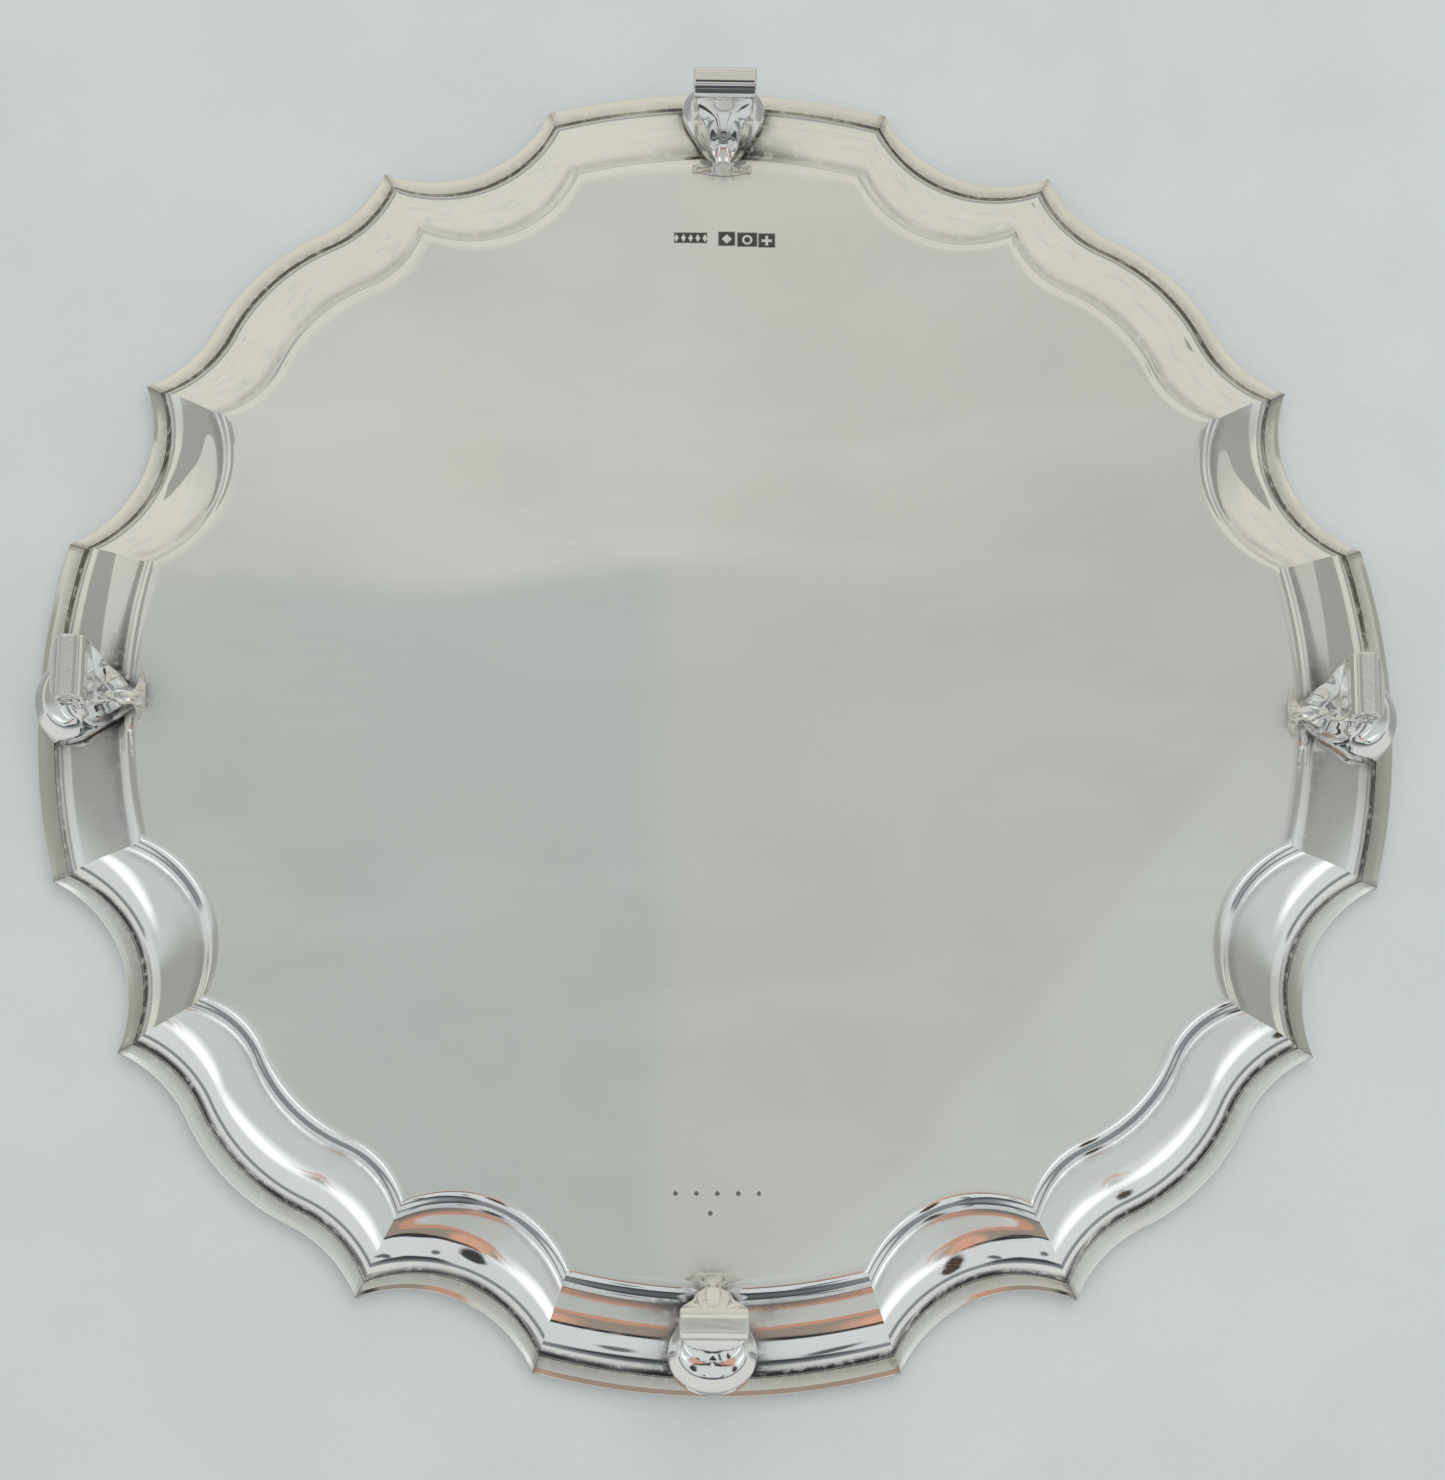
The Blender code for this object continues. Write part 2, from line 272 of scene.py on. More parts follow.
def waviness(x, y):
    """Hand-raised sheet is never quite flat: a few long ripples, in millimetres."""
    return (
        0.016 * np.sin(x / 17.0 + 1.1) * np.sin(y / 23.0)
        + 0.010 * np.sin((x + 0.6 * y) / 9.5 + 2.0)
        + 0.008 * np.sin((y - 0.4 * x) / 7.3 + 0.6)
    )


def near_foot(points):
    """Distance in plan from the nearest pear, and along the border from its axis."""
    r = np.hypot(points[:, 0], points[:, 1])
    a = np.degrees(np.arctan2(points[:, 1], points[:, 0]))
    best, aside = np.full(len(points), 1e9), np.full(len(points), 1e9)
    for axis in FOOT_AXES:
        turned = np.radians((a - axis + 180.0) % 360.0 - 180.0)
        away = pear_plan(r * np.cos(turned), r * np.sin(turned))
        best = np.minimum(best, np.where(np.abs(turned) < 1.0, away, 1e9))
        aside = np.minimum(aside, np.abs(turned) * r)
    return best, aside


def pear_plan(u, v):
    """Distance in plan to the pear: an oval heel joined by straight flanks to the neck."""
    long = PEAR_HEEL - PEAR_NECK
    lean = (PEAR_WIDE - PEAR_NECK_R) / long
    stretch = PEAR_WIDE / PEAR_HEEL_R
    x, y = PEAR_HEEL - u, np.abs(v)
    x = np.where(x < 0, x * stretch, x)
    far = np.maximum(np.hypot(x, y), 1e-6)
    steep = np.where(x < 0, np.hypot(x * stretch, y) / far, 1.0)
    upright = math.sqrt(1 - lean * lean)
    along, across = x * upright - y * lean, x * lean + y * upright
    at_neck = np.hypot(x - long, y) - PEAR_NECK_R
    flank = np.where(along > long * upright, at_neck, across - PEAR_WIDE)
    return np.where(along < 0, (far - PEAR_WIDE) / steep, flank)


def sheet_section():
    """Closed section of the tray: its underside from the well out, its edge, its top back."""
    run = np.gradient(UNDERSIDE, axis=0)
    run /= np.linalg.norm(run, axis=1, keepdims=True)
    over = UNDERSIDE + np.stack([run[:, 1], -run[:, 0]], -1) * SHEET
    over[:, 1] = np.maximum(over[:, 1], EDGE_DEPTH)
    over[:, 0] = np.maximum.accumulate(np.maximum(over[:, 0], EDGE_IN))
    return np.concatenate([UNDERSIDE[::-1], [(EDGE_IN, EDGE_DEPTH)], over[1:]])


# Sizes of the rings that fill the flat well, as shares of its edge.
WELL_RINGS = np.concatenate([np.linspace(0.99, 0.9, 6), np.linspace(0.86, 0.04, 40)])
RIPPLE_RISE = 8

# Tarnish, and painted shade, on the tray. Dark tarnished line under the moulding: inward, half
# width, steepness.
CREVICE_IN, CREVICE_W, CREVICE_POWER = 3.05, 0.48, 2.5
# Painted shade, as darker bands: strength, inward, width, how far they run beside each foot,
# and how evenly.
PAINTED_SHADE_BY_FOOT = (0.55, 11.9, 1.7, 11.0, 4)
PAINTED_SHADE_UNDER_FLANGE = (0.5, 4.0, 1.0, 12.0, 2)
PAINTED_SHADE_ALL_ROUND = (0.28, 12.5, 0.8)
# Solder round each casting, and a wider painted shade round it: pairs of strength and reach.
FOOT_SOLDER_AND_SHADE = ((0.8, 0.45), (0.35, 2.0))
FOOT_SOLDER_AND_SHADE_END = 12


def bell(distance, width, power=2):
    return np.exp(-(np.abs(distance / width) ** power))


def tray_tarnish_and_shade(points):
    around = np.degrees(np.arctan2(points[:, 1], points[:, 0]))
    inward = outline_radius(around) - np.hypot(points[:, 0], points[:, 1])
    away, aside = near_foot(points)
    away = np.maximum(away, 0)
    tarnish_and_shade = bell(inward - CREVICE_IN, CREVICE_W, CREVICE_POWER)
    # Painted shade: a darker band by the bead beside each foot, and a fainter one all round by
    # the bead.
    amount, at, width, reach, even = PAINTED_SHADE_BY_FOOT
    painted_shade = amount * bell(inward - at, width) * bell(aside, reach, even)
    amount, at, width = PAINTED_SHADE_ALL_ROUND
    tarnish_and_shade = np.maximum(tarnish_and_shade, painted_shade + amount * bell(inward - at, width))
    # Painted shade under the flange's edge beside each foot.
    amount, at, width, reach, even = PAINTED_SHADE_UNDER_FLANGE
    under = amount * bell(inward - at, width) * bell(aside, reach, even)
    tarnish_and_shade = np.maximum(tarnish_and_shade, under)
    # Narrow dark solder round each pear, and a wider painted shade round it.
    grime_and_shade = sum(amount * np.exp(-away / reach) for amount, reach in FOOT_SOLDER_AND_SHADE)
    return np.clip(tarnish_and_shade + grime_and_shade * (away < FOOT_SOLDER_AND_SHADE_END), 0, 1)


def tray(coat):
    angles, cusps = border_columns()
    section = sheet_section()
    columns, rows, count = len(angles), len(section), len(WELL_RINGS)
    z = FLANGE_Z - section[None, :, 1]
    body = border_points(angles[:, None], section[None, :, 0], z)
    bordered = columns * rows
    points, total = [body.reshape(-1, 3)], bordered
    faces = [quad[::-1] for quad in grid_faces(columns, rows, True)]
    # Flat well: rings that shrink to the middle, on both faces of the sheet.
    for edge, z, below in ((0, WELL_Z, True), (rows - 1, WELL_Z + SHEET, False)):
        disc = body[:, edge][:, None] * np.array((1, 1, 0)) * WELL_RINGS[None, :, None]
        rise = np.clip((1 - WELL_RINGS) * RIPPLE_RISE, 0, 1)[None]
        disc[..., 2] = z + waviness(disc[..., 0], disc[..., 1]) * rise
        points += [disc.reshape(-1, 3), np.array([(0, 0, z + waviness(0, 0))])]
        base, middle = total, total + columns * count
        total = middle + 1
        quads = (np.array(grid_faces(columns, count, True)) + base).tolist()
        for i in range(columns):
            j = (i + 1) % columns
            quads.append([i * rows + edge, base + i * count, base + j * count, j * rows + edge])
            quads.append([base + (i + 1) * count - 1, middle, base + (j + 1) * count - 1])
        faces += quads if below else [quad[::-1] for quad in quads]
    points = np.concatenate(points)

    below = np.zeros(total, bool)
    below[:bordered] = np.tile(np.arange(rows) < len(UNDERSIDE), columns)
    below[bordered : bordered + columns * count + 1] = True
    cusp = np.zeros(total, bool)
    for c in cusps:
        cusp[c * rows : (c + 1) * rows] = section[:, 0] < MITRE_END
    row, column = np.full(total, -1), np.full(total, -1)
    row[:bordered] = np.tile(np.arange(rows), columns)
    column[:bordered] = np.repeat(np.arange(columns), rows)
    creases = np.isin(row, [len(UNDERSIDE), len(UNDERSIDE) - 1])

    def sharp(a, b):
        mitre = cusp[a] & cusp[b] & (column[a] == column[b])
        ring = creases[a] & (row[a] == row[b])
        return mitre | ring

    # Tarnish and painted shade, kept to the underside.
    tarnish_and_shade = tray_tarnish_and_shade(points) * below
    return make_object("salver_tray", points, faces, coat, tarnish_and_shade, sharp=sharp)


# Moulding, as (inward, height above the flange's underside). Round parts are given by their
# middle, radii, first and last angle and number of points.
RIM_CORNER = ((0.25, 0.56), (0.2, 0.2), (180, 270), 6)
RIM_FLANGE = (
    (0.9, 0.22), (2.55, 0.0), (2.65, 0.1), (2.65, 1.0), (4.25, 1.0), (4.3, 1.05), (4.3, 1.35)
)
RIM_CAVETTO = ((4.25, 2.3), (-1.0, -0.9), (90, 10), 10)
RIM_BEAD = ((1.95, 1.86), (-1.12, 1.12), (168, -38), 26)
RIM_EDGE = ((0.05, 1.25), (0.03, 0.9))
BEAD_FROM_HEIGHT, CAVETTO_FROM_IN = 1.2, 3.1
RIM_TRIM = 0.02
# Tarnish: solder at the ends (strength, reach), and the flange's inner edge (strength,
# inward, width, up to height).
RIM_SOLDER = (0.55, 0.5)
RIM_INNER = (0.8, 2.45, 0.2, 0.5)
HARD_SIDE = 0.6


def round_part(middle, radii, span, count):
    turn = np.radians(np.linspace(*span, count))
    across, up = radii[0] * np.cos(turn), radii[1] * np.sin(turn)
    return np.stack([middle[0] + across, middle[1] + up], -1)


def rim_section():
    """Moulding: flat soldering flange below, bead and cavetto on the show side."""
    corner, cavetto, bead = (round_part(*p) for p in (RIM_CORNER, RIM_CAVETTO, RIM_BEAD))
    cavetto = cavetto[cavetto[:, 0] > CAVETTO_FROM_IN]
    bead = bead[bead[:, 1] > BEAD_FROM_HEIGHT]
    return np.concatenate([corner, RIM_FLANGE, cavetto, bead, RIM_EDGE])


def rim_piece(name, start, end, steps, coat):
    section = rim_section()
    size = len(section)
    trim = math.degrees(RIM_TRIM / FOOT_ARC_R)
    angles = np.linspace(start + trim, end - trim, steps + 1)
    points = border_points(angles[:, None], section[None, :, 0], FLANGE_Z + section[None, :, 1])
    faces = []
    for i in range(steps):
        this, after = i * size, (i + 1) * size
        for k in range(size):
            m = (k + 1) % size
            faces.append([this + k, this + m, after + m, after + k])
    faces.append(list(range(size))[::-1])
    faces.append([steps * size + k for k in range(size)])

    along = np.minimum(angles - start, end - angles) * math.radians(1) * FOOT_ARC_R
    amount, reach = RIM_SOLDER
    solder = amount * bell(along, reach)[:, None]
    amount, at, width, up_to = RIM_INNER
    inner = amount * np.clip((section[:, 0] - at) / width, 0, 1) * (section[:, 1] < up_to)
    tarnish_and_shade = np.maximum(solder, inner[None]).reshape(-1)
    hard = np.linalg.norm(np.diff(section, axis=0, append=section[:1]), axis=1) > HARD_SIDE
    row = np.tile(np.arange(size), steps + 1)

    def sharp(a, b):
        same = (row[a] == row[b]) & (hard[row[a]] | hard[(row[a] - 1) % size])
        ends = (a // size == b // size) & ((a < size) | (a >= steps * size))
        return same | ends

    return make_object(name, points.reshape(-1, 3), faces, coat, tarnish_and_shade, sharp=sharp)


# ---------------------------------------------------------------- foot

# The casting is given as (u, v, depth): u out from the middle of the salver, v to the side.
# Pear: plan is an oval heel and a round neck; its flat top falls to a sloping skirt.
PEAR_HEEL, PEAR_HEEL_R, PEAR_WIDE = 96.2, 5.2, 6.4
PEAR_NECK, PEAR_NECK_R = 86.6, 1.75
PEAR_TOP = (
    (85.0, 6.3),
    (86.6, 6.7),
    (89.4, 7.4),
    (92.0, 8.0),
    (95.0, 8.25),
    (96.5, 8.12),
    (97.6, 7.88),
    (98.4, 7.65),
    (99.6, 7.22),
    (101.3, 6.45),
)
PEAR_LINE = smooth_curve(PEAR_TOP, 200)
# Slope of the skirt at three places along u, its width, and how softly it starts.
PEAR_SKIRT = ((86.6, 89.4, 92.0), (0.5, 0.95, 1.25))
PEAR_SKIRT_W, PEAR_SKIRT_ROUND = 1.6, 0.2
PEAR_CAMBER = 19.0
PEAR_EDGE_ROUND = 0.3
# Leg: depth, u of the ramp's middle, of its edge and of the back, then the half widths of
# the ramp's edge and of the flank.
LEG = np.array(
    (
        (5.6, 86.2, 85.9, 98.4, 0.80, 4.20),
        (6.8, 88.4, 86.6, 98.1, 1.10, 4.20),
        (7.6, 89.4, 87.0, 97.7, 1.45, 4.15),
        (9.0, 89.9, 87.4, 96.0, 1.85, 4.00),
        (11.0, 90.4, 87.9, 95.1, 2.20, 3.60),
        (13.5, 91.0, 89.0, 94.9, 2.70, 3.40),
        (15.0, 91.3, 89.7, 94.9, 3.50, 3.85),
        (17.0, 91.45, 90.4, 95.1, 4.30, 4.45),
        (18.6, 91.5, 90.9, 95.4, 4.60, 4.65),
        (20.0, 91.5, 91.3, 95.6, 4.70, 4.72),
    )
)
LEG_ROWS = 160
LEG_FINE = np.stack([smooth_curve(LEG[:, (0, c)], LEG_ROWS)[:, 1] for c in range(1, 6)])
LEG_AT = np.linspace(LEG[0, 0], LEG[-1, 0], LEG_ROWS)
LEG_END = 19.6
# The ramp is hollow across: how fast its edges come forward, and the most they do.
RAMP_POWER, RAMP_MOST = 3.2, 1.6
RIDGE_SOFT = 0.12
FLANK_SHARE, BACK_POWER = 0.5, 2.4
LEG_BACK_ROUND, LEG_SIDE_ROUND = 0.5, 0.55
# Rolled end: section as (u, depth), half length, and the coil cut into its two ends.
ROLL = (
    (91.5, 19.0),
    (91.55, 20.9),
    (91.95, 21.75),
    (92.4, 22.28),
    (93.1, 22.6),
    (95.0, 22.6),
    (95.15, 22.35),
    (95.85, 20.9),
    (96.5, 19.6),
    (97.0, 18.4),
    (96.7, 17.8),
    (95.6, 17.4),
    (92.6, 17.9),
)
ROLL_HALF = 4.75
ROLL_MIDDLE = (94.0, 20.2)
COIL_PITCH, COIL_W, COIL_DEEP, COIL_R = 1.1, 0.2, 0.35, 2.1
ROLL_END_ROUND = 0.3
# Fine lines along the roll: u and how deep. They are on the sole's side only.
ROLL_LINES = ((92.45, 0.10), (95.05, 0.08), (95.8, 0.10))
ROLL_LINE_W, ROLL_LINES_FROM = 0.09, 20
# The back of the roll bows in towards its ends: outer u, bow, power, steepness.
ROLL_BOW = (97.0, 1.4, 3.6, 0.8)
# Leaf shaped tab: two arcs' middle, their centres' offset and radius; thickness and fall.
LEAF_U, LEAF_OFFSET, LEAF_R = 85.4, 12.6, 13.45
LEAF_THICK, LEAF_FALL, LEAF_ROUND = 0.3, 0.04, 0.3
# How softly the parts of the casting run into each other, and how far it reaches into the
# sheet.
LEG_BLEND, ROLL_BLEND, LEAF_BLEND = 0.6, 0.2, 0.8
SUNK = 0.45


def smooth_min(a, b, k):
    h = np.clip(0.5 + 0.5 * (b - a) / k, 0, 1)
    return b + (a - b) * h - k * h * (1 - h)


def smooth_max(a, b, k):
    return -smooth_min(-a, -b, k)


def polygon_distance(u, w, corners):
    best = np.full(u.shape, 1e9)
    inside = np.zeros(u.shape, bool)
    for i in range(len(corners)):
        a, b = corners[i], corners[i - 1]
        eu, ew = b[0] - a[0], b[1] - a[1]
        pu, pw = u - a[0], w - a[1]
        t = np.clip((pu * eu + pw * ew) / (eu * eu + ew * ew), 0, 1)
        best = np.minimum(best, (pu - eu * t) ** 2 + (pw - ew * t) ** 2)
        crosses = ((a[1] <= w) & (b[1] > w)) | ((b[1] <= w) & (a[1] > w))
        inside ^= crosses & (u < a[0] + pw * eu / (ew if ew else 1e-9))
    return np.sqrt(best) * np.where(inside, -1, 1)


def pear_distance(u, v, w):
    plan = pear_plan(u, v)
    slope = np.interp(u, *PEAR_SKIRT)
    t = (PEAR_SKIRT_W + plan) / PEAR_SKIRT_ROUND
    top = np.interp(u, PEAR_LINE[:, 0], PEAR_LINE[:, 1]) - v**2 / (2 * PEAR_CAMBER)
    top = top - slope * PEAR_SKIRT_ROUND * np.logaddexp(0, t)
    pear = (w - top) / np.sqrt(1 + (slope / (1 + np.exp(-np.clip(t, -40, 40)))) ** 2)
    return smooth_max(pear, plan, PEAR_EDGE_ROUND)


def leg_distance(u, v, w):
    middle, edge, back, ramp, flank = (np.interp(w, LEG_AT, row) for row in LEG_FINE)
    soft_v = np.sqrt(v * v + RIDGE_SOFT)
    front = middle - (middle - edge) * np.minimum((v / ramp) ** RAMP_POWER, RAMP_MOST)
    share = np.clip((u - edge) / (back - edge), 0, 1)
    swell = np.sin(np.clip(share / FLANK_SHARE, 0, 1) * math.pi / 2)
    fall = np.clip((share - FLANK_SHARE) / (1 - FLANK_SHARE), 0, 1)
    half = ramp + (flank - ramp) * swell
    half = half * np.sqrt(np.clip(1 - fall**BACK_POWER, 0, 1))
    ends = smooth_max(front - u, u - back, LEG_BACK_ROUND)
    leg = smooth_max(soft_v - half, ends, LEG_SIDE_ROUND)
    return np.maximum(leg, np.maximum(LEG[0, 0] - w, w - LEG_END))


def roll_distance(u, v, w):
    roll = polygon_distance(u, w, ROLL)
    for at, deep in ROLL_LINES:
        line = np.exp(-(((u - at) / ROLL_LINE_W) ** 2))
        roll = roll + deep * line * (w > ROLL_LINES_FROM)
    outer, bow, power, steep = ROLL_BOW
    roll = np.maximum(roll, (u - outer + bow * (v / ROLL_HALF) ** power) * steep)
    du, dw = u - ROLL_MIDDLE[0], w - ROLL_MIDDLE[1]
    radius = np.hypot(du, dw)
    turns = radius - np.arctan2(dw, du) / (2 * math.pi) * COIL_PITCH
    coil = np.abs((turns + COIL_PITCH / 2) % COIL_PITCH - COIL_PITCH / 2)
    groove = np.exp(-((coil / COIL_W) ** 2)) * (radius < COIL_R)
    return smooth_max(roll, v - ROLL_HALF + COIL_DEEP * groove, ROLL_END_ROUND)


def leaf_distance(u, v, w):
    leaf = np.hypot(np.abs(u - LEAF_U) + LEAF_OFFSET, v) - LEAF_R
    return smooth_max(leaf, w - BASE_DEPTH - LEAF_THICK + LEAF_FALL * v, LEAF_ROUND)


def foot_distance(p):
    """Signed distance, near enough, to the casting. p is (u, v, depth) in millimetres."""
    u, v, w = p[..., 0], np.abs(p[..., 1]), p[..., 2]
    body = smooth_min(pear_distance(u, v, w), leg_distance(u, v, w), LEG_BLEND)
    body = smooth_min(body, roll_distance(u, v, w), ROLL_BLEND)
    body = smooth_min(body, leaf_distance(u, v, w), LEAF_BLEND)
    return np.maximum(body, tray_depth(u, v) - SUNK - w)


def surface_nets(field, origin, step):
    """Closed quad mesh of the field's zero surface, one point in each crossed cell."""
    inside = field < 0
    shape = np.array(field.shape) - 1
    corners = [(i, j, k) for i in (0, 1) for j in (0, 1) for k in (0, 1)]

    def at(grid, corner):
        i, j, k = corner
        return grid[i : i + shape[0], j : j + shape[1], k : k + shape[2]]

    count = sum(at(inside, c).astype(np.int8) for c in corners)
    active = (count > 0) & (count < 8)
    cells = np.argwhere(active)
    index = np.full(active.shape, -1)
    index[active] = np.arange(len(cells))
    total, weight = np.zeros((len(cells), 3)), np.zeros(len(cells))
    for c in corners:
        for axis in range(3):
            if c[axis]:
                continue
            other = list(c)
            other[axis] = 1
            fa, fb = at(field, c)[active], at(field, tuple(other))[active]
            cross = (fa < 0) != (fb < 0)
            t = np.where(cross, fa / np.where(cross, fa - fb, 1), 0)
            place = np.tile(np.array(c, float), (len(cells), 1))
            place[:, axis] += t
            total += place * cross[:, None]
            weight += cross
    points = origin + step * (cells + total / weight[:, None])
    faces = []
    for axis in range(3):
        a = np.take(inside, range(field.shape[axis] - 1), axis)
        b = np.take(inside, range(1, field.shape[axis]), axis)
        one, two = [x for x in range(3) if x != axis]
        for flip in (False, True):
            hit = np.argwhere((a & ~b) if not flip else (b & ~a))
            hit = hit[(hit[:, one] > 0) & (hit[:, two] > 0)]
            ring = []
            for du, dv in ((0, 0), (1, 0), (1, 1), (0, 1)):
                cell = hit.copy()
                cell[:, one] -= du
                cell[:, two] -= dv
                ring.append(index[tuple(cell.T)])
            quads = np.stack(ring, -1)
            faces.append(quads if flip != (axis == 1) else quads[:, ::-1])
    return points, np.concatenate(faces)


# Box and step of the grid the casting is worked out on.
GRID_LOW, GRID_HIGH = np.array((83.2, -7.4, -0.95)), np.array((102.2, 7.4, 23.4))
GRID_STEP, QUICK_STEP = 0.19, 0.26
SETTLE_PASSES = 3
# Painted shade, with some tarnish, in the casting's hollows: how near a surface has to face,
# and the curve of it.
HOLLOW_REACH, HOLLOW_START, HOLLOW_POWER = 0.9, 1.15, 1.5
# Solder at the neck: strength, and where it fades along u and depth.
NECK_SOLDER, NECK_U, NECK_FADE_U, NECK_DEPTH, NECK_FADE_DEPTH = 0.42, 87.2, 1.2, 8.0, 1.0


def foot_gradient(points, h=0.03):
    slope = np.zeros_like(points)
    for axis in range(3):
        step = np.zeros(3)
        step[axis] = h
        slope[:, axis] = (foot_distance(points + step) - foot_distance(points - step)) / (2 * h)
    return foot_distance(points), slope


def foot_tarnish_and_shade(points, normals):
    probe = points + normals * HOLLOW_REACH
    to_tray = probe[:, 2] - tray_depth(probe[:, 0], probe[:, 1])
    open_to = np.minimum(foot_distance(probe), to_tray)
    # Painted shade: the more closed in a point is, the darker; this also stands for tarnish in
    # the hollows.
    hollow_shade = np.clip(HOLLOW_START - open_to / HOLLOW_REACH, 0, 1) ** HOLLOW_POWER
    solder = np.clip((NECK_U - points[:, 0]) / NECK_FADE_U, 0, 1)
    solder = solder * np.clip((NECK_DEPTH - points[:, 2]) / NECK_FADE_DEPTH, 0, 1)
    return np.maximum(hollow_shade, NECK_SOLDER * solder)


def foot_mesh(coat):
    step = GRID_STEP
    axes = [np.arange(a, b, step) for a, b in zip(GRID_LOW, GRID_HIGH)]
    grid = np.stack(np.meshgrid(*axes, indexing="ij"), -1)
    points, faces = surface_nets(foot_distance(grid), GRID_LOW, step)
    for _ in range(SETTLE_PASSES):
        value, slope = foot_gradient(points)
        size = np.maximum((slope**2).sum(-1), 0.05)
        move = slope * (value / size)[:, None]
        points = points - np.clip(move, -step / 2, step / 2)
    slope = foot_gradient(points)[1]
    normals = slope / np.maximum(np.linalg.norm(slope, axis=-1, keepdims=True), 1e-6)
    tarnish_and_shade = foot_tarnish_and_shade(points, normals)
    flip = np.array((1, 1, -1))
    placed = np.array((0, 0, FLANGE_Z)) + points * flip
    return make_object(
        "scroll_foot", placed, faces.tolist(), coat, tarnish_and_shade, normals=normals * flip
    )


# ---------------------------------------------------------------- node helpers


class Value:
    """A socket or number that can be used in ordinary arithmetic."""

    def __init__(self, graph, socket):
        self.graph, self.socket = graph, socket

    def _two(self, op, other, swap=False):
        pair = (other, self) if swap else (self, other)
        return self.graph.math(op, *pair)

    def __add__(self, other):
        return self._two("ADD", other)

    __radd__ = __add__

    def __sub__(self, other):
        return self._two("SUBTRACT", other)

    def __rsub__(self, other):
        return self._two("SUBTRACT", other, True)

    def __mul__(self, other):
        return self._two("MULTIPLY", other)

    __rmul__ = __mul__

    def __truediv__(self, other):
        return self._two("DIVIDE", other)


class Graph:
    """Short names for the shader nodes used here."""

    def __init__(self, tree):
        self.tree = tree
        self.tree.nodes.clear()

    def node(self, kind, **settings):
        made = self.tree.nodes.new("ShaderNode" + kind)
        for key, value in settings.items():
            setattr(made, key, value)
        return made

    def put(self, socket, value):
        if isinstance(value, Value):
            value = value.socket
        if isinstance(value, bpy.types.NodeSocket):
            self.tree.links.new(value, socket)
        else:
            socket.default_value = value

    def math(self, op, *values, clamp=False):
        made = self.node("Math", operation=op, use_clamp=clamp)
        for socket, value in zip(made.inputs, values):
            self.put(socket, value)
        return Value(self, made.outputs[0])

    def fade(self, value, start, end):
        """0 at start, 1 at end, smooth between."""
        made = self.node("MapRange", interpolation_type="SMOOTHSTEP")
        low, high = (start, end) if start < end else (end, start)
        self.put(made.inputs["Value"], value)
        made.inputs["From Min"].default_value = low
        made.inputs["From Max"].default_value = high
        made.inputs["To Min"].default_value = 0.0 if start < end else 1.0
        made.inputs["To Max"].default_value = 1.0 if start < end else 0.0
        return Value(self, made.outputs[0])

    def mix(self, share, first, second):
        made = self.node("Mix", data_type="RGBA")
        self.put(made.inputs[0], share)
        self.put(made.inputs[6], first)
        self.put(made.inputs[7], second)
        return made.outputs[2]

    def split(self, vector):
        made = self.node("SeparateXYZ")
        self.put(made.inputs[0], vector)
        return [Value(self, s) for s in made.outputs]

    def noise(self, vector, scale, detail=2.0, stretch=(1, 1, 1), turn=0.0, rough=0.5):
        place = self.node("Mapping")
        self.put(place.inputs["Vector"], vector)
        place.inputs["Scale"].default_value = stretch
        place.inputs["Rotation"].default_value = (0, 0, turn)
        made = self.node("TexNoise")
        self.put(made.inputs["Vector"], place.outputs[0])
        made.inputs["Scale"].default_value = scale
        made.inputs["Detail"].default_value = detail
        made.inputs["Roughness"].default_value = rough
        return Value(self, made.outputs["Fac"])

    def blob(self, x, y, at, radii, turn=0.0, soft=0.3):
        """1 inside a turned ellipse, fading over its edge."""
        c, s = math.cos(math.radians(turn)), math.sin(math.radians(turn))
        dx, dy = x - at[0], y - at[1]
        along = (dx * c + dy * s) * (1 / radii[0])
        across = (dy * c - dx * s) * (1 / radii[1])
        reach = self.math("SQRT", along * along + across * across)
        return self.fade(reach, 1 + soft, 1 - soft)


def linear(r, g, b):
    """Display colour, 0 to 255, as linear light."""

    def one(c):
        c = c / 255
        return c / 12.92 if c <= 0.04045 else ((c + 0.055) / 1.055) ** 2.4

    return (one(r), one(g), one(b), 1.0)


# ---------------------------------------------------------------- surroundings

# Directions are in degrees from straight down: ax towards +X, ay towards -Y.
# Walls and sky: cool behind the far edge, a pale wall, and cream higher up.
COOL, CREAM = linear(203, 208, 210), linear(207, 206, 197)
WALL_LEFT, WALL_RIGHT, WALL_STAIN = (
    linear(194, 196, 191),
    linear(184, 186, 181),
    linear(172, 174, 170),
)
# Grey ceiling: its top edge rises towards the sides; its tones at the middle, the sides, a
# panel left of the middle, the low corners and the far corner.
CEILING_TOP, WING_FROM, WING_SPAN, WING_SLOPE = 18.2, 29.0, 20.0, 1.5
CEILING_BUMP, CEILING_SWAY = 1.8, 3.0
CEILING_FOOT, CEILING_FOOT_RISE = -15.0, 9.0
CEILING, CEILING_SIDE, CEILING_PANEL = (
    linear(181, 184, 180),
    linear(153, 156, 151),
    linear(174, 179, 177),
)
CEILING_LOW, CEILING_FAR = linear(190, 195, 195), linear(189, 193, 190)
# Windows: place and turn; both have these radii, softness and light.
WINDOWS = (((-33, -13), -33), ((33.5, -16), 42))
WINDOW_RADII, WINDOW_SOFT, WINDOW_LIGHT = (12.5, 4.8), 0.95, (1.18, 1.22, 1.26, 1.0)
